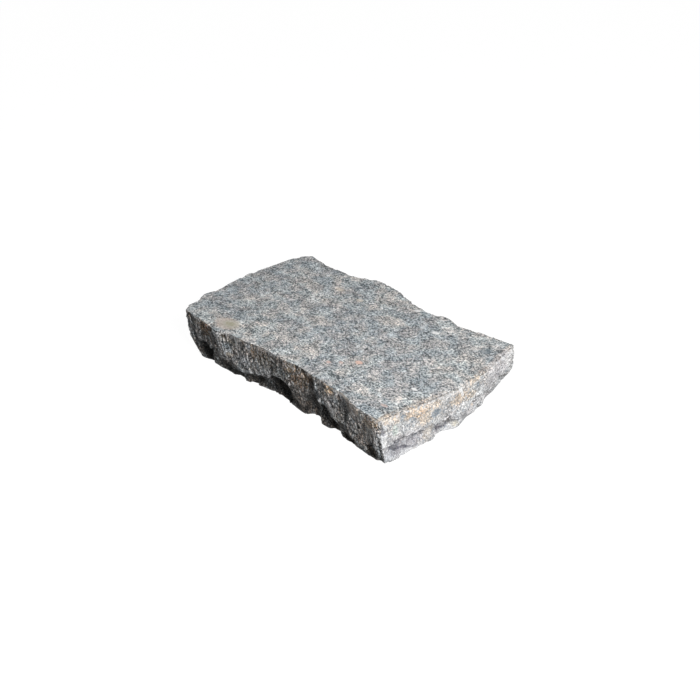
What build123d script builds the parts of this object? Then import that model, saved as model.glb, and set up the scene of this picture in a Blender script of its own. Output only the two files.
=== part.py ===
from build123d import *
import os
from math import cos, radians, sin

# A thin granite cobblestone, split from a larger block. The top is worn flat.
# The four sides and the bed are broken faces, and the sides run in under the top.
# Millimetres. +X is along the length, +Z is up, and the stone lies on its bed at Z = 0.

# Driving dimensions
cornerLength = 267.0     # between the corners of the top, along X
cornerWidth = 174.0      # between the corners of the top, along Y
thickness = 47.0         # from the bed to the worn top
breakHeight = 20.0       # where the sides turn in towards the bed

# The outline of the stone, side by side, at three heights. Each station is
# (share of the side, top, break, bed), in mm out from the straight side.
# Long sides run from -X to +X and the ends run from -Y to +Y.
frontStations = [
    (0.00, -3.0, -4.0, -6.0), (0.06, -0.5, -2.0, -5.5), (0.14, 1.0, -0.5, -5.0),
    (0.20, 3.5, 0.5, -5.0), (0.27, 0.5, -1.0, -6.0), (0.34, -2.5, -3.0, -7.0),
    (0.43, -6.0, -6.0, -8.5), (0.51, -4.5, -5.5, -7.5), (0.59, -7.0, -6.0, -6.5),
    (0.65, -4.5, -5.0, -6.0), (0.70, -4.5, -5.0, -5.0), (0.74, -2.5, -4.0, -4.5),
    (0.80, -2.5, -2.5, -2.5), (0.87, 3.5, 1.5, -0.5), (0.93, 6.0, 4.0, 0.5),
    (1.00, 5.0, 3.5, 0.0),
]
backStations = [
    (0.00, -1.0, -3.0, -7.0), (0.08, -3.5, -5.0, -9.0), (0.18, -5.0, -8.0, -13.0),
    (0.26, -1.5, -5.0, -11.0), (0.31, 4.5, 1.0, -7.5), (0.36, 6.5, 4.0, -4.0),
    (0.43, 5.0, 2.5, -4.5), (0.51, -1.5, -3.5, -8.0), (0.56, -5.5, -7.5, -13.0),
    (0.66, -8.0, -10.0, -15.0), (0.71, -4.5, -8.0, -13.0), (0.77, -9.0, -10.5, -14.0),
    (0.84, -6.5, -8.5, -12.0), (0.91, -2.0, -4.5, -9.5), (0.96, 1.5, -1.0, -7.5),
    (1.00, 2.0, 2.0, -6.0),
]
leftStations = [
    (0.00, 1.5, -3.5, -17.5), (0.05, 6.0, 0.0, -14.5), (0.13, 7.5, 2.0, -11.0),
    (0.20, 13.0, 6.0, -6.0), (0.27, 11.0, 6.5, -5.0), (0.40, 14.0, 10.0, 0.0),
    (0.55, 16.5, 13.0, 5.0), (0.70, 13.5, 11.0, 3.0), (0.82, 12.0, 8.0, -1.0),
    (0.93, 8.5, 4.0, -5.0), (1.00, -0.5, -4.0, -10.0),
]
rightStations = [
    (0.00, 1.5, 2.0, 3.0), (0.10, 3.5, 4.5, 6.0), (0.22, 7.5, 8.5, 9.5),
    (0.34, 11.5, 10.5, 6.5), (0.44, 14.0, 11.5, 6.5), (0.52, 15.5, 13.0, 8.5),
    (0.62, 16.0, 12.0, 4.0), (0.71, 14.0, 10.5, 4.0), (0.79, 10.0, 8.0, 0.5),
    (0.89, 6.5, 5.0, -4.5), (1.00, 2.5, 0.5, -13.0),
]

# The main hollows under the top edge. Each is (side, share and height of its deepest place,
# depth, its outline in mm as (along the side, up) from that place).
hollows = [
    ("front", 0.068, 11.0, 10.0, [(-14, -4), (-9, 8), (1, 12), (11, 8), (13, -5), (8, -16), (-6, -13)]),
    ("front", 0.172, 3.5, 3.5, [(-12, 0), (-5, 8), (6, 6), (11, -3), (6, -5), (-8, -5)]),
    ("front", 0.235, 3.0, 4.2, [(-12, 2), (-3, 8), (7, 5), (11, -3), (5, -11), (-7, -11)]),
    ("front", 0.380, 6.0, 6.5, [(-26, 3), (-10, 7), (9, 11), (15, 3), (12, -10), (-8, -8.5), (-22, -7)]),
    ("front", 0.467, 12.0, 10.5,
     [(-17, 2), (-8, 11), (2, 11), (11, 8), (17, 3), (16, -10), (9, -16.5), (-12, -16.5)]),
    ("front", 0.695, 13.0, 6.5, [(-9, 1), (-4, 10), (4, 7), (10, -3), (5, -12), (-7, -11)]),
    ("front", 0.740, 7.0, 6.5, [(-9, 3), (-1, 9), (8, 5), (12, -5), (7, -11.5), (-5, -11.5)]),
    ("front", 0.812, 4.0, 3.5, [(-8, 1), (0, 5), (8, 2), (9, -4), (-7, -5)]),
    ("front", 0.940, 8.0, 3.5, [(-11, 2), (-3, 8), (6, 5), (10, -3), (2, -9), (-8, -8)]),
    ("right", 0.155, 11.0, 6.0,
     [(-29, 17), (-12, 13), (12, 8), (25, 1), (22, -7), (8, -15), (-8, -15), (-22, 1)]),
    ("right", 0.410, 7.0, 6.0, [(-15, 1), (-8, 8), (6, 7), (17, 1), (14, -6), (6, -14), (-9, -14)]),
    ("right", 0.660, 9.0, 4.0, [(-13, 3), (-2, 10), (10, 7), (13, -3), (4, -8), (-10, -6)]),
]
hollowFloor = 0.45       # how much of its outline a hollow keeps at its floor
hollowLead = 7.0         # how far outside the side its cutter starts

# Scars, where flakes came off: (side, share, height, ball radius, depth, downward tilt)
scars = [
    ("front", 0.30, 36.0, 70.0, 1.6, 0.0),
    ("front", 0.87, 26.0, 80.0, 2.2, 5.0),
    ("right", 0.27, 9.0, 30.0, 3.5, 10.0),
    ("right", 0.57, 30.0, 90.0, 1.8, 0.0),
    ("right", 0.74, 8.0, 26.0, 3.0, 10.0),
    ("right", 0.90, 7.0, 40.0, 2.5, 15.0),
    ("back", 0.12, 8.0, 30.0, 4.0, 15.0),
    ("back", 0.16, 28.0, 45.0, 2.0, 0.0),
    ("back", 0.36, 6.0, 34.0, 4.5, 15.0),
    ("back", 0.56, 15.0, 24.0, 3.0, 10.0),
    ("back", 0.63, 4.0, 24.0, 4.0, 20.0),
    ("back", 0.84, 10.0, 38.0, 4.5, 10.0),
    ("left", 0.17, 9.0, 28.0, 4.5, 15.0),
    ("left", 0.34, 26.0, 55.0, 2.5, 5.0),
    ("left", 0.52, 6.0, 34.0, 4.5, 15.0),
    ("left", 0.78, 8.0, 30.0, 4.5, 10.0),
]

# The one deep crease, which opens as it runs down the front
creaseTopShare = 0.65    # where it meets the top edge, as a share of the front
creaseFootShare = 0.625  # where it meets the bed
creaseRadius = 11.0
creaseDepth = 6.5        # at the bed
creaseOverrun = 15.0     # how far its cutter runs on past the top and the bed

# Dips of the bed: (share along X, share along Y, ball radius, depth)
bedDips = [
    (0.30, 0.36, 210.0, 2.4),
    (0.62, 0.62, 260.0, 2.6),
    (0.74, 0.26, 170.0, 1.8),
    (0.24, 0.74, 150.0, 1.6),
]

# Each side's stations, its outward direction and the direction that its shares run in
sides = {
    "front": (frontStations, Vector(0, -1, 0), Vector(1, 0, 0)),
    "back": (backStations, Vector(0, 1, 0), Vector(1, 0, 0)),
    "left": (leftStations, Vector(-1, 0, 0), Vector(0, 1, 0)),
    "right": (rightStations, Vector(1, 0, 0), Vector(0, 1, 0)),
}
# The sides that a side meets where its shares begin and end
neighbours = {
    "front": ("left", "right"),
    "back": ("left", "right"),
    "left": ("front", "back"),
    "right": ("front", "back"),
}


def sideReach(name):
    """How far the straight side lies from the middle of the stone."""
    return (cornerWidth if name in ("front", "back") else cornerLength) / 2


def edgeOffset(name, share, height):
    """How far the side stands out from its straight line, at a share and a height."""
    for before, after in zip(sides[name][0], sides[name][0][1:]):
        if share <= after[0]:
            break
    part = (share - before[0]) / (after[0] - before[0])
    top, bend, bed = (low + (high - low) * part for low, high in zip(before[1:], after[1:]))
    if height < breakHeight:
        return bed + (bend - bed) * height / breakHeight
    return bend + (top - bend) * (height - breakHeight) / (thickness - breakHeight)


def sidePoint(name, share, height):
    """A point on a side. Its first and last points are the corners, shared with the next side."""
    outward, along = sides[name][1:]
    first, last = neighbours[name]
    firstEnd = 0.0 if name in ("front", "left") else 1.0
    low = -sideReach(first) - edgeOffset(first, firstEnd, height)
    high = sideReach(last) + edgeOffset(last, firstEnd, height)
    reach = sideReach(name) + edgeOffset(name, share, height)
    return outward * reach + along * (low + (high - low) * share) + Vector(0, 0, height)


def outline(height):
    """The closed outline of the stone at a height, one spline for each side."""
    edges = []
    for name in ("front", "right", "back", "left"):
        shares = [station[0] for station in sides[name][0]]
        if name in ("back", "left"):
            shares.reverse()
        edges.append(Spline(*[sidePoint(name, share, height) for share in shares]))
    return make_face(Wire(edges))


def splitBlank():
    """The stone as first split: flat top and bed, with sides that break and run in."""
    return loft([outline(0), outline(breakHeight), outline(thickness)], ruled=True)


def hollowCutter(name, share, height, depth, outline):
    """The steep-sided piece that leaves one hollow: its outline, drawn in towards its deepest place."""
    outward, along = sides[name][1:]
    deepest = sidePoint(name, share, height)

    def ring(out, size):
        corners = [deepest + outward * out + (along * u + Vector(0, 0, v)) * size for u, v in outline]
        return Face(Wire.make_polygon(corners))

    flare = (1 - hollowFloor) * hollowLead / depth
    return loft([ring(hollowLead, 1 + flare), ring(-depth, hollowFloor)], ruled=True)


def scarBall(name, share, height, radius, depth, tilt):
    """The ball that takes one flake off a side. Its seam and poles are turned away from the stone."""
    outward, along = sides[name][1:]
    aim = outward * cos(radians(tilt)) - Vector(0, 0, sin(radians(tilt)))
    middle = sidePoint(name, share, height) + aim * (radius - depth)
    return Plane(origin=middle, x_dir=outward, z_dir=along) * Sphere(radius)


def crease():
    """A round groove down the front. It touches the top edge and cuts in as it nears the bed."""
    outward = sides["front"][1]
    top = sidePoint("front", creaseTopShare, thickness) + outward * creaseRadius
    foot = sidePoint("front", creaseFootShare, 0) + outward * (creaseRadius - creaseDepth)
    run = top - foot
    cutter = Cylinder(creaseRadius, run.length + 2 * creaseOverrun)
    return Plane(origin=(top + foot) * 0.5, z_dir=run) * cutter


def bedBall(shareX, shareY, radius, depth):
    """The ball that hollows the bed, turned like the ball of a scar."""
    x = cornerLength * (shareX - 0.5)
    y = cornerWidth * (shareY - 0.5)
    return Plane(origin=(x, y, depth - radius), x_dir=(0, 0, -1), z_dir=(1, 0, 0)) * Sphere(radius)


def cobblestone():
    """The finished stone, with the middle of its outline over the origin and its bed at Z = 0."""
    stone = splitBlank()
    for hollow in hollows:
        stone -= hollowCutter(*hollow)
    for scar in scars:
        stone -= scarBall(*scar)
    stone -= crease()
    for dip in bedDips:
        stone -= bedBall(*dip)
    box = stone.bounding_box()
    return Pos(-box.center().X, -box.center().Y, -box.min.Z) * stone


os.makedirs("parts", exist_ok=True)
stone = cobblestone()
export_step(stone, "parts/cobblestone.step")
print("size", stone.bounding_box().size, "volume", round(stone.volume), "solids", len(stone.solids()))
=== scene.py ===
import bpy
from math import pi, radians
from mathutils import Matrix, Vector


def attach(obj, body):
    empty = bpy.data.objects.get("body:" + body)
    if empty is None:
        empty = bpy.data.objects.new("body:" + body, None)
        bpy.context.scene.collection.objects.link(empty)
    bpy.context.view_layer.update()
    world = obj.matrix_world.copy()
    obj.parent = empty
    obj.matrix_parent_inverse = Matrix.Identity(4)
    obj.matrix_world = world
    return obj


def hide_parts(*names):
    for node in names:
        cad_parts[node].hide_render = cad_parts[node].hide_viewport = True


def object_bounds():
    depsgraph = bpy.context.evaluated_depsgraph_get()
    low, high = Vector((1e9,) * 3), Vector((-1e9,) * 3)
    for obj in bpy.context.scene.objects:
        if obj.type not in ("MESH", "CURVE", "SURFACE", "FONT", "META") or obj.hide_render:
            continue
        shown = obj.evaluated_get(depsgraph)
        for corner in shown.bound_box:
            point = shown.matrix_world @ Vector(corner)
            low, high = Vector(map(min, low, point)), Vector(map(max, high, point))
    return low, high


# A thin granite cobblestone with a worn top and rough split sides, on a pale floor.
# The relief and the patterns are given in millimetres. Blender's own lengths are in metres.

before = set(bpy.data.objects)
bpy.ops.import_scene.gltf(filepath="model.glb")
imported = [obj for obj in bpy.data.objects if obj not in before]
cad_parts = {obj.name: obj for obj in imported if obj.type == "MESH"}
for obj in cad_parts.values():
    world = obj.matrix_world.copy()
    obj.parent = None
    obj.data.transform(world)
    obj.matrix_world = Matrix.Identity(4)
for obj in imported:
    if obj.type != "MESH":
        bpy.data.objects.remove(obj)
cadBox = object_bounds()
low, high = cadBox
mm = 0.001
topHeight = high.z / mm


class Wire:                                    # one socket of a node tree, so that sums read as sums
    def __init__(self, tree, socket=None):
        self.tree = tree
        self.socket = socket

    def node(self, kind, settings, values, out=0):   # any node: its type, its settings, its sockets
        made = self.tree.nodes.new(kind)
        for name, setting in settings.items():
            if name == "stops":
                fillRamp(made.color_ramp, setting)
            else:
                setattr(made, name, setting)
        for name, value in values.items():
            if isinstance(value, Wire):
                self.tree.links.new(value.socket, made.inputs[name])
            else:
                made.inputs[name].default_value = value
        return Wire(self.tree, made.outputs[out] if made.outputs else None)

    def output(self, name):                    # another output of the same node
        return Wire(self.tree, self.socket.node.outputs[name])

    def maths(self, operation, *values):
        return self.node("ShaderNodeMath", {"operation": operation}, dict(enumerate(values)))

    def vector(self, operation, *others, out=0):     # the same for vectors, with this one first
        values = dict(enumerate((self, *others)))
        return self.node("ShaderNodeVectorMath", {"operation": operation}, values, out)

    def length(self):
        return self.vector("LENGTH", out="Value")

    def most(self, other):                     # the larger of the two
        return self.maths("MAXIMUM", self, other)

    def least(self, other):                    # the smaller of the two
        return self.maths("MINIMUM", self, other)

    def __add__(self, other):
        return self.maths("ADD", self, other)

    def __sub__(self, other):
        return self.maths("SUBTRACT", self, other)

    def __rsub__(self, other):
        return self.maths("SUBTRACT", other, self)

    def __mul__(self, other):
        return self.maths("MULTIPLY", self, other)

    def __truediv__(self, other):
        return self.maths("DIVIDE", self, other)

    __radd__ = __add__
    __rmul__ = __mul__


def fillRamp(ramp, stops):                     # stops are (place, colour), each held up to the next one
    while len(ramp.elements) < len(stops):
        ramp.elements.new(1.0)
    for element, (place, colour) in zip(ramp.elements, stops):
        element.position = place
        element.color = colour
    ramp.interpolation = "CONSTANT"


# Patterns that the relief and the material share

crisp = (3, 0.6)                               # detail and roughness of the crisper noises
blobEdge = (0.75, 1.15)                        # where a blob fades out, in shares of its radii
strokeEdge = (0.2, 0.55)                       # and a stroke, in shares of its width


def scaled(place, factors):
    return place.vector("MULTIPLY", factors)


def noise(place, size, detail=2.0, roughness=0.5):
    values = {"Vector": place, "Scale": 1 / size, "Detail": detail, "Roughness": roughness}
    return place.node("ShaderNodeTexNoise", {}, values)


def warped(place, size, shift):                # the place pushed about by up to half the shift
    push = noise(place, size).output("Color").vector("SUBTRACT", (0.5,) * 3)
    return place.vector("ADD", scaled(push, (shift,) * 3))


def cells(place, size):                        # the distance to the cell's middle, and its random colour
    return place.node("ShaderNodeTexVoronoi", {}, {"Vector": place, "Scale": 1 / size})


def part(value, name):                         # one number of a place or of a colour
    return value.node("ShaderNodeSeparateXYZ", {}, {0: value}, out=name)


def pickOf(cell):                              # a random number, the same all over a cell
    return part(cell.output("Color"), "X")


def facets(place, size, slope):                # flat facets that tilt at random, with steps between them
    cell = cells(place, size)
    tilt = cell.output("Color").vector("SUBTRACT", (0.5,) * 3)
    away = place.vector("SUBTRACT", cell.output("Position"))
    return away.vector("DOT_PRODUCT", tilt, out="Value") * (2 * slope)


def rise(value, start, end):                   # 0 before start, 1 after end, smooth between
    values = {"Value": value, "From Min": start, "From Max": end}
    return value.node("ShaderNodeMapRange", {"interpolation_type": "SMOOTHSTEP"}, values)


def blob(place, middle, radii, ragged=0.0):    # 1 inside an egg shape, 0 outside
    reach = place.vector("SUBTRACT", middle).vector("DIVIDE", radii).length()
    return 1 - rise(reach + ragged, *blobEdge)


def stroke(place, points, width, ragged=0.0):  # 1 along a line through the points, 0 beside it
    nearest = width * 2
    for start, end in zip(points, points[1:]):
        run = tuple(b - a for a, b in zip(start, end))
        along = place.vector("SUBTRACT", start)
        share = along.vector("DOT_PRODUCT", run, out="Value") / sum(c * c for c in run)
        share = share.most(0.0).least(1.0)
        away = along.vector("SUBTRACT", share.vector("MULTIPLY", run))
        nearest = away.length().least(nearest)
    return 1 - rise(nearest + ragged, *(width * edge for edge in strokeEdge))


# The two split sides that show most. A place on one is (along, up): along X on the front, Y on the end.

def onSides(place):                            # the place as each side sees it, flat
    return {"front": scaled(place, (1, 0, 1)), "end": scaled(place, (0, 1, 1))}


def spotOn(side, spot):
    along, up = spot
    return (along, 0, up) if side == "front" else (0, along, up)


def blobOn(places, side, middle, radii, ragged):
    wide, tall = radii
    return blob(places[side], spotOn(side, middle), (wide, wide, tall), ragged)


def strokeOn(places, side, points, width, ragged=0.0):
    return stroke(places[side], [spotOn(side, point) for point in points], width, ragged)


# The stone's relief

relief = {
    "weld": 0.01,                      # corners of the plain stone closer than this are joined
    "voxel": 0.8,                      # of the remeshed copy
    "mostTriangles": 196000,
    "inset": 0.08,                     # kept between the relief and the plain stone's box
    "topTilt": (0.75, 0.95),           # how far up the worn top faces: from none of it to all of it
    "topDepths": (2, 1),               # and how far it lies below the highest point
    "bedTilt": (-0.75, -0.95),
    "bedHeights": (6, 4),
    "endTilt": (0.35, 0.75),           # how far the right end faces along X, and where it starts
    "endPlace": (98, 114),
    "frontPlace": (-50, -60),          # along Y
    "blurs": {"end": 6, "nearEnd": 60, "nearArris": 24, "worn": 3, "bed": 3},   # rounds for each mask
    "arrisSoftening": 2,               # rounds of smoothing everywhere
    "endSoftening": 40,                # more of them along the top of the right end
    "rolledPlace": (112, 124),
    "rolledHeights": (26, 34),
    "rolledPatches": (18, (0.3, 0.55)),
    "footSoftening": 4,                # and along the foot
    "footHeights": (3, 9),
    "looseWarp": (17, 11),             # (size, shift)
    "tightWarp": (5, 2.4),
    "scoops": (34.0, 2.6),             # (size, depth)
    "facets": [(17.0, 0.12), (7.0, 0.12), (3.2, 0.16)],   # (size, slope)
    "streaks": (3.0, 0.45),            # (size, depth)
    "streakStretch": (1, 1, 0.3),
    "grit": (1.6, 0.15),
    "offFoot": (0, 6),                 # heights over which the fine relief starts
    "raised": 1.5,                     # how far the ridges would stand out from the plain faces
    "mostRaised": 0.7,                 # and how far they may
    "bedShare": 0.4,                   # how much of the relief the bed gets
    "creviceWarp": (9, 8),
    "chips": (7.0, 1.3),               # (size, depth)
    "chipWarp": (6, 5),
    "chipPick": (0.55, 0.6),           # a chip is cut where the cell draws more than this
    "chipEdge": (0.35, 0.9),           # and near the arris, which is 1 here
    "chipHeights": (30, 42),
    "corner": (135.6, -89.5, 0),       # the near upright arris
    "cornerReach": (2, 7),
    "cornerChips": 1.8,
    "cornerFoot": 1.3,
    "cornerFootRadii": (8, 8, 7),
    "topWaves": (38.0, 0.5),           # (size, depth)
    "waveDetail": 3,
    "topPits": (3.4, 0.35),
    "evening": 14,                     # rounds of smoothing that a hollow or a ridge is measured from
    "hollowBlur": 2,
}

# Hollows under the lip of the split faces, which the relief deepens a little and the material darkens with
# painted shade: (middle, radii, depth)
hollows = [
    ((-106, -84, 9), (12, 30, 13), 1.0),
    ((-77, -85, 3), (11, 28, 7), 0.6),
    ((-59, -84, 3), (10, 28, 8), 0.6),
    ((-30, -82, 4), (19, 30, 11), 0.8),
    ((-3, -82, 9), (17, 32, 15), 1.2),
    ((59, -82, 9), (10, 28, 14), 0.8),
    ((71, -83, 4), (11, 28, 10), 0.8),
    ((89, -85, 3), (9, 26, 7), 0.6),
    ((120, -88, 8), (10, 26, 10), 0.6),
    ((141, -64, 12), (30, 22, 8), 0.6),
    ((143, -17, 7), (30, 15, 8), 0.6),
    ((144, 23, 10), (30, 12, 9), 0.4),
]

# Crevices where flakes have come away, which the relief cuts a little deeper, and the edges of the hollows,
# all with painted shade along them: (side, points, width, depth, darkness)
crevices = [
    ("end", [(-82, 17), (-75, 12), (-68, 8), (-60, 5), (-48, 4)], 2.8, 0.9, 0.8),
    ("end", [(-30, 17), (-27, 11), (-20, 5), (-11, 5), (-6, 7)], 3.6, 1.0, 0.7),
    ("end", [(50, 34), (60, 27), (70, 17), (79, 8)], 3.2, 1.0, 0.5),
    ("end", [(-92, 44), (-90, 31)], 4.0, 0.9, 0.9),
    ("front", [(41, 44), (39.5, 32), (35.5, 18), (34.5, 8), (35, 0)], 7.0, 0.5, 0.7),
    ("front", [(43, 22), (46, 10), (45, 0)], 14.0, 0.2, 0.9),
    ("front", [(51, 22), (52, 4)], 5.0, 0.3, 0.55),
    ("front", [(79, 44), (78.5, 29)], 5.0, 0.4, 0.45),
    ("front", [(89, 31), (86, 21)], 6.0, 0.4, 0.5),
    ("front", [(113, 32), (112, 21), (108, 16)], 6.0, 0.5, 0.5),
    ("front", [(115, 10), (118, 3.5), (128, 2)], 3.5, 0.6, 0.6),
    ("front", [(134, 15), (135, 3)], 4.0, 0.5, 0.6),
    ("front", [(-118, 20), (-116, 8), (-107, 2)], 10.0, 0.0, 0.8),
    ("front", [(-110, 15), (-103, 8), (-97, 13)], 18.0, 0.0, 0.4),
    ("front", [(-6, 17), (3, 12)], 14.0, 0.0, 0.5),
    ("front", [(-36, 10), (-18, 10)], 12.0, 0.0, 0.2),
    ("front", [(-79, 13), (-80, 5), (-67, 3)], 10.0, 0.0, 1.0),
    ("front", [(-66, 1), (-52, 4), (-40, 4)], 7.0, 0.0, 0.9),
    ("front", [(-48, 6), (-36, 4), (-22, 3)], 9.0, 0.0, 0.7),
    ("front", [(-12, 17), (-8, 8), (-3, 3), (6, 1)], 10.0, 0.0, 0.8),
    ("front", [(53, 5), (60, 3), (69, 3)], 7.0, 0.0, 0.5),
    ("front", [(80, 13), (86, 11), (94, 9)], 9.0, 0.0, 0.8),
    ("front", [(84, 3), (93, 1)], 7.0, 0.0, 1.0),
    ("front", [(-89, 44), (-86, 30), (-84, 18)], 12.0, 0.3, 0.4),
    ("front", [(-12, 38), (-12, 20)], 5.0, 0.4, 0.5),
    ("front", [(-27, 35), (-25, 24)], 5.0, 0.3, 0.3),
    ("front", [(-50, 31), (-55, 22)], 5.0, 0.3, 0.4),
    ("front", [(-9, 8), (-11, 1)], 6.0, 0.0, 1.0),
    ("front", [(33.5, 28), (33, 14), (34, 0)], 5.0, 0.0, 0.8),
    ("front", [(50, 24), (51.5, 10), (53, 0)], 3.5, 0.0, 0.5),
    ("front", [(64, 6), (66, 0)], 5.0, 0.0, 0.9),
    ("front", [(14, 9), (22, 5), (32, 4)], 10.0, 0.0, 0.8),
]


def reliefNodes():
    tree = bpy.data.node_groups.new("stoneRelief", "GeometryNodeTree")
    for way in ("INPUT", "OUTPUT"):
        tree.interface.new_socket(name="Geometry", in_out=way, socket_type="NodeSocketGeometry")
    start = Wire(tree)
    stone = start.node("NodeGroupInput", {}, {})
    spot = start.node("GeometryNodeInputPosition", {}, {})
    normal = start.node("GeometryNodeInputNormal", {}, {})
    place = scaled(spot, (1 / mm,) * 3)
    across = part(place, "X")
    height = part(place, "Z")
    facing = part(normal, "Z")

    def blur(kind, value, rounds, weight=1.0):
        return start.node("GeometryNodeBlurAttribute", {"data_type": kind},
                          {"Value": value, "Iterations": rounds, "Weight": weight})

    def store(shape, name, value):
        return start.node("GeometryNodeStoreNamedAttribute", {"data_type": "FLOAT", "domain": "POINT"},
                          {"Geometry": shape, "Name": name, "Value": value})

    def read(name):
        return start.node("GeometryNodeInputNamedAttribute", {"data_type": "FLOAT"}, {"Name": name})

    def move(shape, position):
        return start.node("GeometryNodeSetPosition", {}, {"Geometry": shape, "Position": position})

    # Which part of the surface is worn top, which is bed, and which is the right end
    topHeights = [topHeight - deep for deep in relief["topDepths"]]
    worn = rise(facing, *relief["topTilt"]) * rise(height, *topHeights)
    bed = rise(facing, *relief["bedTilt"]) * rise(height, *relief["bedHeights"])
    stone = store(stone, "worn", worn)
    stone = store(stone, "bed", bed)
    end = rise(part(normal, "X"), *relief["endTilt"]) * rise(across, *relief["endPlace"])
    masks = {"end": end, "nearEnd": end, "nearArris": read("worn"), "worn": read("worn"), "bed": read("bed")}
    for name, mask in masks.items():
        stone = store(stone, name, blur("FLOAT", mask, relief["blurs"][name]))

    # Every edge is a little soft, the foot softer, and the top of the right end is rolled over in patches
    stone = move(stone, blur("FLOAT_VECTOR", spot, relief["arrisSoftening"]))
    size, turn = relief["rolledPatches"]
    rolled = rise(across, *relief["rolledPlace"]) * rise(height, *relief["rolledHeights"])
    rolled = rolled * rise(noise(place, size), *turn)
    stone = move(stone, blur("FLOAT_VECTOR", spot, relief["endSoftening"], rolled))
    foot = (1 - rise(height, *relief["footHeights"])) * (1 - read("bed"))
    stone = move(stone, blur("FLOAT_VECTOR", spot, relief["footSoftening"], foot))

    # Split faces: wide scoops, flat facets, streaks that run down, and grit
    loose = warped(place, *relief["looseWarp"])
    tight = warped(place, *relief["tightWarp"])
    size, deep = relief["scoops"]
    depth = (1 - cells(loose, size)) * deep
    size, slope = relief["facets"][0]
    depth = depth + facets(loose, size, slope)
    size, deep = relief["streaks"]
    fine = (noise(scaled(tight, relief["streakStretch"]), size) - 0.5) * (2 * deep)
    for size, slope in relief["facets"][1:]:
        fine = fine + facets(tight, size, slope)
    size, deep = relief["grit"]
    fine = fine + (noise(place, size, *crisp) - 0.5) * (2 * deep)
    offFoot = rise(height, *relief["offFoot"])
    depth = (depth + fine * offFoot - relief["raised"]).most(-relief["mostRaised"])

    # The hollows, and the crevices on the two sides that show, with masks of the shade painted in them
    pocket = height * 0
    for middle, radii, deep in hollows:
        inside = blob(loose, middle, radii)
        depth = depth + inside * offFoot * deep
        pocket = pocket.most(inside)
    # How much shade is painted along the crevices
    dark = height * 0
    cut = height * 0
    below = (1 - read("worn")) * (1 - read("nearArris"))
    front = (1 - read("end")) * rise(part(place, "Y"), *relief["frontPlace"])
    sideMask = {"front": front * below, "end": read("end") * below}
    flat = onSides(warped(tight, *relief["creviceWarp"]))
    for side, points, width, deep, darkness in crevices:
        line = strokeOn(flat, side, points, width) * sideMask[side]
        dark = dark.most(line * darkness)
        if deep:
            cut = cut.most(line * deep)
    depth = depth + cut * offFoot
    split = 1 - read("worn") - read("bed") * (1 - relief["bedShare"])
    splitDepth = depth * split * (1 - read("nearArris"))

    # Chips along the top edge and at the near corner
    size, deep = relief["chips"]
    chipCell = cells(warped(place, *relief["chipWarp"]), size)
    chipped = rise(pickOf(chipCell), *relief["chipPick"]) * (1 - chipCell)
    edge = read("nearArris") * (1 - read("nearArris")) * 4     # 1 along the arris
    chips = chipped * rise(edge, *relief["chipEdge"]) * deep * rise(height, *relief["chipHeights"])
    away = scaled(place, (1, 1, 0)).vector("SUBTRACT", relief["corner"]).length()
    nearCorner = 1 - rise(away, *relief["cornerReach"])
    chips = chips + chipped * nearCorner * relief["cornerChips"]
    chips = chips + blob(place, relief["corner"], relief["cornerFootRadii"]) * relief["cornerFoot"]

    # The gentle waves and pits of the worn top
    size, deep = relief["topWaves"]
    waves = noise(place, size, relief["waveDetail"]) * deep
    size, deep = relief["topPits"]
    pits = noise(tight, size, *crisp) * deep
    topDepth = (waves + pits) * read("worn")
    inward = splitDepth + chips + topDepth

    shift = normal.node("ShaderNodeVectorMath", {"operation": "SCALE"}, {0: normal, "Scale": inward * -mm})
    inset = relief["inset"] * mm
    moved = spot.vector("ADD", shift)
    moved = moved.vector("MAXIMUM", [c + inset for c in low])
    moved = moved.vector("MINIMUM", [c - inset for c in high])
    # Masks of the painted shade in the hollows and along the crevices, for the material
    stone = store(stone, "pocket", pocket)
    stone = store(stone, "crevice", dark)
    stone = move(stone, moved)

    # How hollow each place is at the size of a few grains: above 0 in a hollow, below 0 on a ridge
    evened = blur("FLOAT_VECTOR", spot, relief["evening"])
    bulge = evened.vector("SUBTRACT", spot).vector("DOT_PRODUCT", normal, out="Value")
    stone = store(stone, "hollow", blur("FLOAT", bulge / mm, relief["hollowBlur"]))
    start.node("NodeGroupOutput", {}, {0: stone})
    return tree


def modify(piece, kind, **settings):           # adds a modifier and applies it
    bpy.context.view_layer.objects.active = piece
    modifier = piece.modifiers.new(kind.lower(), kind)
    for name, setting in settings.items():
        setattr(modifier, name, setting)
    bpy.ops.object.modifier_apply(modifier=modifier.name)


def makeStone():
    bpy.ops.object.select_all(action="DESELECT")
    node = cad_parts["cobblestone"]
    node.select_set(True)
    bpy.context.view_layer.objects.active = node
    bpy.ops.object.duplicate()
    piece = bpy.context.active_object
    piece.name = "splitStone"
    piece.data.materials.clear()
    bpy.ops.object.mode_set(mode="EDIT")
    bpy.ops.mesh.select_all(action="SELECT")
    bpy.ops.mesh.remove_doubles(threshold=relief["weld"] * mm)
    bpy.ops.mesh.normals_make_consistent(inside=False)
    bpy.ops.object.mode_set(mode="OBJECT")
    modify(piece, "REMESH", mode="VOXEL", voxel_size=relief["voxel"] * mm)
    print("remeshed stone has", len(piece.data.polygons), "faces")
    modify(piece, "NODES", node_group=reliefNodes())
    triangles = sum(len(face.vertices) - 2 for face in piece.data.polygons)
    modify(piece, "DECIMATE", ratio=min(1.0, relief["mostTriangles"] / triangles))
    bpy.ops.object.shade_smooth()
    print("finished stone has", len(piece.data.polygons), "faces")
    return piece


# The granite

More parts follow.
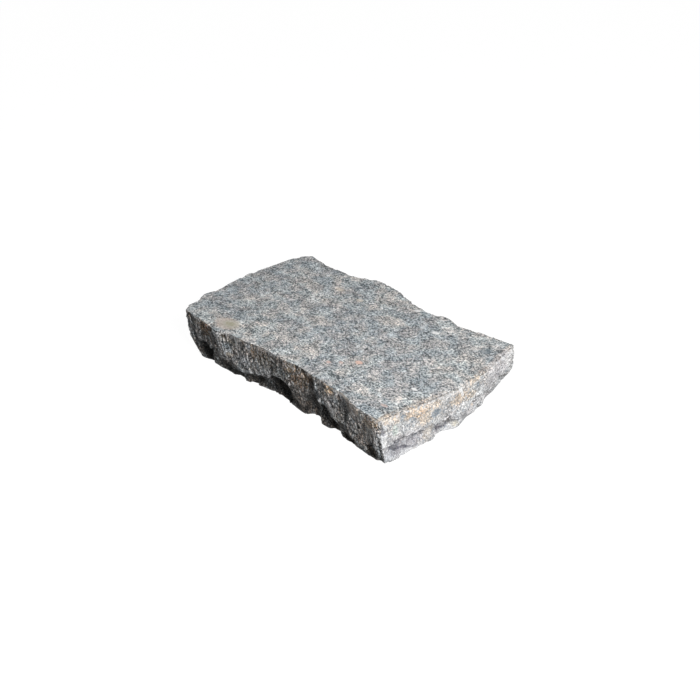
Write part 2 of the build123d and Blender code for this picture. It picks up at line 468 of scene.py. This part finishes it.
minerals = [                                   # (share where it starts, colour), from dark to pale
    (0.00, (0.060, 0.066, 0.070, 1)),
    (0.06, (0.145, 0.160, 0.168, 1)),
    (0.19, (0.262, 0.282, 0.290, 1)),
    (0.41, (0.398, 0.409, 0.411, 1)),
    (0.65, (0.525, 0.525, 0.522, 1)),
    (0.80, (0.565, 0.550, 0.538, 1)),
    (0.91, (0.740, 0.738, 0.725, 1)),
]
granite = {
    "crystal": 1.28,                           # size
    "crystalWarps": [(5, 1.6), (1.1, 0.55)],   # (size, shift)
    "flake": 0.95,
    "flakeWarp": (1.2, 0.6),
    "flakePick": (0.80, 0.84),                 # a flake is dark where it draws more than this
    "flakeStrength": 0.88,
    "flakeColour": (0.070, 0.078, 0.084, 1),
    "patch": (12.0, 1.05, 0.3),                # size, and how far it shifts the mineral and the flakes
    "tints": [                                 # (size, where it turns, cool, warm)
        (15, (0.38, 0.62), (0.958, 1.014, 1.040, 1), (1.052, 1.005, 0.978, 1)),
        (34, (0.35, 0.65), (0.895, 0.914, 0.940, 1), (1.150, 1.130, 1.108, 1)),
    ],
    "fray": {"fine": 2.2, "ragged": 5, "broad": 12},     # sizes of the noises that fray borders and marks
    "speck": (1.3, 2, 0.6),                    # size, detail and roughness
    "speckTurn": (0.35, 0.65),
    "roughness": 0.70,
    "splitRoughness": 0.15,                    # added on the split faces
    "fineRoughness": 0.25,
    "crystalGloss": 0.1,
    "specular": 0.22,
    "grain": (0.9, 3, 0.7),                    # size, detail and roughness of the bumps
    "crystalBump": 0.5,
    "grainBump": 0.3,
    "bumpDistance": 1.0,
}
borders = {                                    # how far the noises fray each border, and where it turns
    "worn": ({"fine": 0.6, "ragged": 0.5}, (0.45, 0.65)),
    "rim": ({"fine": 0.25, "broad": 0.2}, (0.05, 0.22)),
    "end": ({"fine": 0.7, "ragged": 1.6}, (0.35, 0.65)),
}
keptTop = {                                    # where the worn top reaches the right end with no fresh rim
    "middle": (-1, 47),
    "radii": (26, 12),
    "ragged": 2,
    "strength": 0.85,
}
weathering = {                                 # the front, the back and the left end
    "lean": 0.3,                               # how far the streaks lean, and how much they are drawn out
    "draw": 0.25,
    "warp": (3, 1.0),
    "streaks": (1.25, (0.38, 0.66)),           # size, and where they turn
    "tints": (2.4, (0.38, 0.62)),
    "coldStreak": (0.86, 0.88, 0.90, 1),
    "warmStreak": (1.00, 0.90, 0.83, 1),
    "speckShare": 0.60,                        # what specks and streaks add to the darkest tone
    "streakShare": 0.85,
    "darkest": 0.12,
    "rustPatches": (22, (0.42, 0.6)),
    "rustHeights": (34, 44),
    "rustWave": 26,
    "rustStrength": 0.8,
}
freshFace = {                                  # the right end
    "colour": (0.508, 0.482, 0.464, 1),
    "share": 0.45,                             # of that colour over the crystals
    "speckShare": 0.46,
    "darkest": 0.74,
    "stainAbove": (30, 0.012),                 # a height, and how fast the stains grow above it
    "stainTurn": (0.04, 0.2),
    "stainStrength": 0.3,
    "grainWarp": (1.1, 0.9),
    "grains": (2.2, (0.58, 0.64)),
    "grainStrength": 0.7,
    "whitePick": (0.16, 0.12),                 # flakes and crystals that draw less than these are changed
    "whiteStrength": 0.6,
    "bluePick": (0.14, 0.10),
    "blueStrength": 0.5,
    "recess": (0.250, 0.243, 0.262, 1),        # duller below
    "recessHeights": (22, 15),
    "recessWave": 30,
    "recessTilt": 0.12,
    "recessStrength": 0.22,
}
wearAndShade = {                                       # grime and painted shade in the hollows, painted shade in the crevices, and pale worn ridges
    "stepWarp": (2, 1.0),
    "steps": (1.6, 0.9),                       # (size, slope) of the facets as small as a grain
    "stepNoise": (1.4, 2.4),                   # (size, depth)
    "stepShare": 0.5,
    "stepEnd": 0.5,                            # how much lower they are as bumps on the right end
    "dirtAndShade": (0.054, 0.051, 0.048, 1),
    "dirtAndShadeDepths": (0.0, 0.5),
    "dirtAndShadeStrength": 0.58,
    "lessDirtAndShadeOnEnd": 0.7,                           # how much less grime and painted shade there is on the right end
    "hollowShadeStrength": 0.42,
    "ridgeDepths": (-0.15, -0.5),
    "ridgeHeights": (6, 22),
    "ridgeStrength": 0.5,
    "creviceShadeFront": (0.32, 0.31, 0.30, 1),     # painted shade in the crevices and the hollows, which multiplies what is under it
    "creviceShadeEnd": (0.32, 0.32, 0.36, 1),
    "creviceFray": 0.6,
    "creviceTurn": (0.1, 0.85),
    "creviceSpecks": 0.6,                      # how far the dark specks break them up on the right end
    "arris": 0.75,                             # darkening along the top edge
    "arrisEnd": 0.55,                          # how much paler the arris of the right end is
    "arrisTurn": (0.04, 0.4),
}

# The colours of the marks, and the marks on the top: (middle, radii, colour, strength)
markFray = 2                                   # how far the finest noise frays a mark on a side
stainFray = 2.5
markSpecks = (0.8, 0.4)                        # what a pale speck adds to a mark, and its share in a dark one
lineSpecks = (0.5, 0.6)
white = (0.80, 0.80, 0.79, 1)
paleBeige = (0.62, 0.55, 0.46, 1)
cream = (0.66, 0.58, 0.47, 1)
pink = (0.62, 0.44, 0.38, 1)
blueGrey = (0.16, 0.20, 0.24, 1)
bruise = (0.600, 0.605, 0.615, 1)
topMarks = [
    ((-83.5, -74.0, 47), (14, 10, 6), (0.50, 0.41, 0.35, 1), 0.60),    # the ring round the oval
    ((-79.6, -72.0, 47), (10, 7.5, 6), (0.42, 0.41, 0.34, 1), 0.55),   # the pale oval
    ((-80.6, -72.0, 47), (5, 3.5, 6), (0.30, 0.29, 0.19, 1), 0.55),    # its darker middle
    ((56.7, -37.2, 47), (4.0, 3.0, 4), (0.68, 0.43, 0.34, 1), 0.75),
    ((36.9, -55.6, 47), (2.6, 2.2, 4), pink, 0.7),
    ((45.2, -48.3, 47), (2.6, 1.8, 4), pink, 0.6),
    ((121.2, -72.7, 47), (4.0, 2.0, 4), pink, 0.5),
    ((122.2, -35.7, 47), (3.4, 1.8, 4), white, 0.8),
    ((70.3, 52.0, 47), (4.0, 3.0, 4), white, 0.8),
    ((29.0, 73.0, 47), (3.0, 2.6, 4), white, 0.7),
    ((-26.0, 49.2, 47), (4.0, 3.0, 4), paleBeige, 0.6),
    ((-57.0, 52.0, 47), (6.0, 3.0, 4), paleBeige, 0.6),
    ((124.8, 57.9, 47), (6.0, 5.0, 4), (0.10, 0.13, 0.15, 1), 0.55),
]

# Marks on the split sides: (side, middle, radii, colour, strength)
sideMarks = [
    ("front", (-75, 46), (7, 2.5), white, 0.6),
    ("front", (-70, 40), (6, 4), paleBeige, 0.35),
    ("front", (-66, 25), (3, 2.2), paleBeige, 0.7),
    ("front", (-40, 41), (2.5, 7), (0.40, 0.44, 0.48, 1), 0.5),
    ("front", (-47, 27), (7, 5), (0.38, 0.41, 0.45, 1), 0.4),
    ("front", (64.5, 47.5), (4, 3), (0.85, 0.62, 0.42, 1), 0.85),
    ("front", (88, 46.5), (7, 1.6), cream, 0.6),
    ("front", (67, 30), (9, 10), (0.40, 0.40, 0.42, 1), 0.45),
    ("front", (73, 24), (3, 4), white, 0.4),
    ("front", (105, 41), (8, 8), (0.42, 0.41, 0.40, 1), 0.5),
    ("front", (123, 26), (9, 9), (0.42, 0.41, 0.41, 1), 0.45),
    ("end", (58, 38), (24, 14), (0.60, 0.57, 0.58, 1), 0.45),
    ("end", (-64, 13), (23, 11), (0.250, 0.240, 0.268, 1), 0.5),
    ("end", (-23, 11), (9, 9), (0.250, 0.240, 0.268, 1), 0.5),
    ("end", (19, 13), (13, 12), (0.350, 0.345, 0.360, 1), 0.35),
    ("end", (37, 33), (8, 8), (0.30, 0.30, 0.305, 1), 0.6),
    # a painted highlight along the low lip of the right end, which faces up to the lamp
    ("end", (-60, 2), (24, 2.6), bruise, 0.5),
    ("end", (-37, 13), (4.5, 10), cream, 0.38),
    ("end", (-88, 26), (3.5, 8), white, 0.6),
    ("end", (78, 39), (8, 6), white, 0.6),
    ("end", (-85, 7), (4, 8), (0.40, 0.42, 0.45, 1), 0.5),
    ("end", (-77, 31), (4, 5), (0.42, 0.52, 0.45, 1), 0.4),
    ("end", (-85, 46), (6, 2.5), cream, 0.25),
    ("end", (-74, 14), (9, 5), (0.05, 0.055, 0.075, 1), 0.65),
    ("end", (-18, 5), (8, 3), (0.06, 0.06, 0.08, 1), 0.5),
    ("end", (-68, 40), (4, 3), blueGrey, 0.8),
    ("end", (-58, 35), (3, 2.4), blueGrey, 0.8),
    ("end", (-32.5, 32), (6.5, 4), blueGrey, 0.9),
    ("end", (22, 36), (2.5, 3), blueGrey, 0.8),
    ("end", (25, 43), (2.5, 3.5), blueGrey, 0.6),
    ("end", (-2, 5), (4, 3), (0.50, 0.45, 0.33, 1), 0.5),
]
sideLines = [                                  # (side, points, width, colour, strength)
    ("front", [(-38, 17), (-50, 10.5), (-62, 4)], 6, (0.42, 0.45, 0.48, 1), 0.55),
    ("front", [(-10, 22), (-1, 24), (9, 21)], 3.5, bruise, 0.4),
    ("end", [(-4, 44), (1, 35)], 4.5, white, 0.8),
    ("end", [(26, 27), (36, 17), (44, 8)], 3.5, white, 0.75),
    ("end", [(-24, 22), (-12, 12)], 3.5, white, 0.5),
    ("end", [(60, 47), (70, 38), (78, 30)], 4, white, 0.5),
    ("end", [(13, 20), (27, 9)], 2.5, (0.60, 0.47, 0.34, 1), 0.6),
]

# Stains and tones, which multiply what is under them, with some painted light and shade marked below: (side,
# middle, radii, colour, strength)
rust = (0.85, 0.66, 0.48, 1)
orange = (1.18, 0.98, 0.76, 1)
peach = (1.17, 1.01, 0.85, 1)
deep = (0.55, 0.54, 0.53, 1)
# painted light, which lifts the right part of the front out of its shade
paler = (1.64, 1.61, 1.57, 1)
stains = [
    ("front", (-101, 41), (9, 9), rust, 0.9),
    ("front", (-92, 44), (6, 5), rust, 0.8),
    ("front", (-36, 40), (3, 9), orange, 0.8),
    ("front", (-27, 46), (4, 3), orange, 0.9),
    ("front", (-22, 38), (16, 10), rust, 0.6),
    ("front", (12, 42), (8, 8), orange, 0.9),
    ("front", (26, 36), (12, 11), rust, 0.8),
    ("front", (65, 43), (6, 6), orange, 0.9),
    ("front", (129, 43), (6, 6), orange, 0.9),
    ("front", (119, 35), (7, 4), orange, 0.6),
    ("front", (118, 6), (5, 4), orange, 0.6),
    ("front", (-98, 25), (14, 16), deep, 0.7),
    # painted shade in the hollow at the far left
    ("front", (-103, 13), (10, 9), deep, 0.9),
    ("front", (-98, 44), (12, 6), deep, 0.8),
    ("front", (-59, 46), (6, 3), deep, 0.6),
    ("front", (-20, 45), (22, 4), deep, 0.9),
    ("front", (17, 46), (16, 4), deep, 0.9),
    ("front", (122, 44), (6, 5), deep, 0.6),
    ("front", (-15, 34), (14, 16), deep, 0.75),
    ("front", (36, 24), (7, 26), deep, 0.8),
    ("front", (16, 30), (14, 22), deep, 0.85),
    # this one and the next two are painted shade low on the front and in its hollows
    ("front", (23, 10), (14, 9), deep, 0.95),
    ("front", (0, 14), (11, 10), deep, 0.75),
    ("front", (92, 5), (6, 5), deep, 0.7),
    ("front", (-31, 32), (9, 14), deep, 0.35),
    ("front", (-57, 22), (8, 10), deep, 0.5),
    # painted shade low on the front, over the hollows near x -30
    ("front", (-25, 10), (22, 10), deep, 0.3),
    ("front", (84, 34), (6, 12), deep, 0.3),
    # painted light on the right part of the front, where the lamp leaves it in shade
    ("front", (67, 34), (10, 14), paler, 0.9),
    ("front", (103, 34), (9, 18), paler, 0.9),
    ("front", (113, 39), (7, 8), paler, 0.6),
    ("front", (119, 29), (12, 17), paler, 1.0),
    ("front", (122, 24), (8, 10), paler, 0.5),
    ("front", (64, 40), (6, 7), paler, 0.4),
    ("end", (36, 17), (13, 9), (1.24, 1.23, 1.23, 1), 0.9),
    # partly a pale streak, partly painted light over the shade of the crevice below it
    ("end", (-15, 15), (7, 4.5), (1.36, 1.34, 1.34, 1), 0.9),
    ("end", (-57, 40), (10, 6), peach, 1.0),
    ("end", (-45, 34), (8, 10), peach, 0.9),
    ("end", (-33, 41), (6, 4), peach, 0.8),
    ("end", (-84, 44), (7, 4), peach, 0.45),
    # painted shade along the low crevice of the right end
    ("end", (-62, 6), (18, 5), (0.72, 0.72, 0.75, 1), 0.8),
    ("end", (-4, 34), (13, 6), peach, 1.0),
    ("end", (-74, 41), (6, 4), peach, 0.55),
    # painted light that lifts the shadow under the scar's upper lip
    ("end", (-55, 19), (20, 4), (1.25, 1.24, 1.25, 1), 0.9),
    ("end", (12, 30), (8, 4), peach, 0.8),
    ("end", (15, 45), (8, 4), peach, 0.8),
    ("end", (56, 38), (26, 16), (1.16, 1.15, 1.17, 1), 0.9),
    ("end", (20, 14), (40, 14), (1.20, 1.20, 1.20, 1), 0.9),
]


def mixed(share, first, second, blend="MIX"):
    source = share if isinstance(share, Wire) else first
    return source.node("ShaderNodeMix", {"data_type": "RGBA", "blend_type": blend},
                       {0: share, 6: first, 7: second}, out=2)


def tinted(colour, factor, share=1.0):         # multiplied by the factor, as far as the share says
    return mixed(share, colour, factor, "MULTIPLY")


def emptyTree(holder):                         # of a material or of the world
    holder.use_nodes = True
    holder.node_tree.nodes.clear()
    return Wire(holder.node_tree)


def graniteMaterial():
    material = bpy.data.materials.new("granite")
    start = emptyTree(material)
    spot = start.node("ShaderNodeTexCoord", {}, {}, out="Object")
    place = scaled(spot, (1 / mm,) * 3)
    height = part(place, "Z")
    flat = onSides(place)
    fray = {name: noise(place, size, *crisp) - 0.5 for name, size in granite["fray"].items()}
    fine = fray["fine"]
    broad = fray["broad"]
    speck = rise(noise(place, *granite["speck"]), *granite["speckTurn"])

    def read(name):
        return start.node("ShaderNodeAttribute", {"attribute_name": name}, {}, out="Fac")

    def frayed(mask, border):
        shares, turn = borders[border]
        for name, share in shares.items():
            mask = mask + fray[name] * share
        return rise(mask, *turn)

    # Where the worn top, the fresh right end and the weathered split faces are
    worn = frayed(read("worn"), "worn")
    kept = blobOn(flat, "end", keptTop["middle"], keptTop["radii"], fray["ragged"] * keptTop["ragged"])
    rim = frayed(read("nearEnd"), "rim") * worn * (1 - kept * keptTop["strength"])
    worn = worn - rim
    end = frayed(read("end"), "end").most(rim)
    split = 1 - worn

    # Crystals: each cell picks its mineral, and slow patches make the choice darker or paler
    size, mineralShift, flakeShift = granite["patch"]
    patch = noise(place, size, *crisp) - 0.5
    bent = place
    for warp in granite["crystalWarps"]:
        bent = warped(bent, *warp)
    crystal = cells(bent, granite["crystal"])
    choice = pickOf(crystal) + patch * mineralShift
    colour = start.node("ShaderNodeValToRGB", {"stops": minerals}, {0: choice})
    flake = cells(warped(place, *granite["flakeWarp"]), granite["flake"])
    darkFlake = rise(pickOf(flake) - patch * flakeShift, *granite["flakePick"])
    colour = mixed(darkFlake * granite["flakeStrength"], colour, granite["flakeColour"])
    for size, turn, cool, warm in granite["tints"]:
        colour = tinted(colour, mixed(rise(noise(place, size), *turn), cool, warm))

    # Weathered split faces, with streaks that run down
    leaning = part(place, "X") + height * weathering["lean"]
    values = {0: leaning, 1: part(place, "Y"), 2: height * weathering["draw"]}
    lean = start.node("ShaderNodeCombineXYZ", {}, values)
    bent = warped(lean, *weathering["warp"])
    size, turn = weathering["streaks"]
    streaks = rise(noise(bent, size, *crisp), *turn)
    tone = speck * weathering["speckShare"] + streaks * weathering["streakShare"] + weathering["darkest"]
    size, turn = weathering["tints"]
    tint = mixed(rise(noise(bent, size), *turn), weathering["coldStreak"], weathering["warmStreak"])
    weathered = tinted(tinted(colour, tone), tint)

    # The fresher right end: stained above, with a dull recess below
    fresh = mixed(freshFace["share"] + fine, colour, freshFace["colour"])
    fresh = tinted(fresh, speck * freshFace["speckShare"] + freshFace["darkest"])
    above, slope = freshFace["stainAbove"]
    stained = rise(broad + fine + (height - above) * slope, *freshFace["stainTurn"])
    fresh = tinted(fresh, orange, stained * freshFace["stainStrength"])
    size, turn = freshFace["grains"]
    grains = rise(noise(warped(place, *freshFace["grainWarp"]), size), *turn)
    fresh = mixed(grains * freshFace["grainStrength"], fresh, blueGrey)
    fresh = mixed(rise(pickOf(flake), *freshFace["whitePick"]) * freshFace["whiteStrength"], fresh, white)
    fresh = mixed(rise(pickOf(crystal), *freshFace["bluePick"]) * freshFace["blueStrength"], fresh, blueGrey)
    level = height + broad * freshFace["recessWave"] + part(place, "Y") * freshFace["recessTilt"]
    recess = rise(level, *freshFace["recessHeights"])
    fresh = mixed(recess * freshFace["recessStrength"], fresh, freshFace["recess"])
    sides = mixed(end, weathered, fresh)

    size, turn = weathering["rustPatches"]
    rustBand = rise(height + broad * weathering["rustWave"], *weathering["rustHeights"])
    rustBand = rustBand * rise(noise(place, size), *turn) * (1 - end)
    sides = tinted(sides, rust, rustBand * weathering["rustStrength"])
    colour = mixed(split, colour, sides)

    # The single marks, which are weaker in the dark specks
    markTone = speck * markSpecks[0] + markSpecks[1]
    lineTone = speck * lineSpecks[0] + lineSpecks[1]
    front = split * (1 - end) * rise(part(place, "Y"), *relief["frontPlace"])
    sideMask = {"front": front, "end": end}
    for side, middle, radii, shade, strength in stains:
        share = blobOn(flat, side, middle, radii, fine * stainFray) * sideMask[side]
        colour = tinted(colour, shade, share * strength)
    for side, middle, radii, shade, strength in sideMarks:
        share = blobOn(flat, side, middle, radii, fine * markFray) * sideMask[side]
        colour = mixed(share * markTone * strength, colour, shade)
    for side, points, width, shade, strength in sideLines:
        share = strokeOn(flat, side, points, width, fine * markFray) * sideMask[side]
        colour = mixed(share * lineTone * strength, colour, shade)
    for middle, radii, shade, strength in topMarks:
        colour = mixed(blob(place, middle, radii, fine) * strength, colour, shade)

    # Grime and painted shade in the hollows, painted shade in the crevices, and pale worn ridges on the split
    # faces
    size, deepest = wearAndShade["stepNoise"]
    steps = facets(warped(place, *wearAndShade["stepWarp"]), *wearAndShade["steps"]) + (noise(lean, size) - 0.5) * deepest
    sunk = read("hollow") + steps * wearAndShade["stepShare"]
    # Grime, with painted shade, where the surface is hollow
    dirtAndShade = rise(sunk, *wearAndShade["dirtAndShadeDepths"]) * split * (1 - end * wearAndShade["lessDirtAndShadeOnEnd"])
    colour = mixed(dirtAndShade * wearAndShade["dirtAndShadeStrength"], colour, wearAndShade["dirtAndShade"])
    # Painted shade in the hollows under the lip
    pocket = read("pocket") * split * (1 - end)
    colour = tinted(colour, wearAndShade["creviceShadeFront"], pocket * wearAndShade["hollowShadeStrength"])
    ridge = rise(sunk, *wearAndShade["ridgeDepths"]) * split * end.most(rise(height, *wearAndShade["ridgeHeights"]))
    ridge = ridge * (1 - read("nearArris"))
    colour = mixed(ridge * wearAndShade["ridgeStrength"], colour, bruise)
    # Painted shade along the crevices and the edges of the hollows
    crevice = rise(read("crevice") + fine * wearAndShade["creviceFray"], *wearAndShade["creviceTurn"]) * split
    shade = mixed(end, wearAndShade["creviceShadeFront"], wearAndShade["creviceShadeEnd"])
    colour = tinted(colour, shade, crevice * (1 - end * (1 - speck) * wearAndShade["creviceSpecks"]))
    arris = rise(read("nearArris"), *wearAndShade["arrisTurn"]) * split
    colour = tinted(colour, deep, arris * (wearAndShade["arris"] - end * wearAndShade["arrisEnd"] * speck))

    rough = granite["roughness"] + split * granite["splitRoughness"] + fine * granite["fineRoughness"]
    rough = rough - pickOf(crystal) * granite["crystalGloss"]
    grain = (noise(place, *granite["grain"]) - crystal * granite["crystalBump"]) * granite["grainBump"]
    grain = grain - steps * split * (1 - end * wearAndShade["stepEnd"])
    values = {"Height": grain, "Strength": 1.0, "Distance": granite["bumpDistance"] * mm}
    bump = start.node("ShaderNodeBump", {}, values, out="Normal")
    values = {"Base Color": colour, "Roughness": rough, "Normal": bump}
    values["Specular IOR Level"] = granite["specular"]
    shader = start.node("ShaderNodeBsdfPrincipled", {}, values)
    start.node("ShaderNodeOutputMaterial", {}, {0: shader})
    return material


# Floor, light and camera

studio = {
    "floorSize": 9.0,
    "floorColour": (0.22, 0.22, 0.22, 1),
    "keyDirection": (1.0, -0.36, 0.76),        # from the stone towards the lamp
    "keyDistance": 1.5,
    "keySize": 0.47,
    "keyLevel": 1.62,                          # of a white face turned to the lamp
    "worldLevel": 0.11,
    "floorGlow": (0.75, 1.31),                 # how much of the floor's white is its own, and how strong
}
view = {
    "place": (0.66087, -0.65900, 0.56514),
    "azimuth": 44.70,
    "pitch": 30.25,
    "lens": 57.96,
}


def seenRays(start):                           # 1 for rays from the camera, also by way of metal or glass
    rays = start.node("ShaderNodeLightPath", {}, {}, out="Is Camera Ray")
    return (rays + rays.output("Is Glossy Ray") + rays.output("Is Transmission Ray")).least(1.0)


def makeStudio():
    bpy.ops.mesh.primitive_plane_add(size=studio["floorSize"], location=(0, 0, 0))
    floor = bpy.context.active_object
    floor.name = "floor"
    material = bpy.data.materials.new("paleFloor")
    start = emptyTree(material)
    share, strength = studio["floorGlow"]
    pale = start.node("ShaderNodeBsdfDiffuse", {}, {"Color": studio["floorColour"]})
    glow = start.node("ShaderNodeEmission", {}, {"Color": (1, 1, 1, 1), "Strength": strength})
    shown = start.node("ShaderNodeMixShader", {}, {0: seenRays(start) * share, 1: pale, 2: glow})
    start.node("ShaderNodeOutputMaterial", {}, {0: shown})
    floor.data.materials.append(material)

    direction = studio["keyDirection"]
    reach = sum(c * c for c in direction) ** 0.5
    distance = studio["keyDistance"]
    bpy.ops.object.light_add(type="AREA", location=[c / reach * distance for c in direction])
    key = bpy.context.active_object
    key.data.size = studio["keySize"]
    key.data.energy = pi * pi * distance ** 2 * studio["keyLevel"]
    key.rotation_euler = (-key.location).to_track_quat("-Z", "Y").to_euler()

    world = bpy.data.worlds.new("studio")
    start = emptyTree(world)
    bpy.context.scene.world = world
    level = studio["worldLevel"] + seenRays(start) * (1 - studio["worldLevel"])
    sky = start.node("ShaderNodeBackground", {}, {"Color": (1, 1, 1, 1), "Strength": level})
    start.node("ShaderNodeOutputWorld", {}, {0: sky})


def makeCamera():
    bpy.ops.object.camera_add(location=view["place"])
    camera = bpy.context.active_object
    camera.rotation_euler = (radians(90 - view["pitch"]), 0, radians(view["azimuth"]))
    camera.data.lens = view["lens"]
    bpy.context.scene.camera = camera


stone = makeStone()
stone.data.materials.append(graniteMaterial())
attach(stone, "root")
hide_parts("cobblestone")
print("stone is made")

makeStudio()
makeCamera()
bpy.context.scene.view_settings.view_transform = "Standard"
print("floor, light and camera are set")
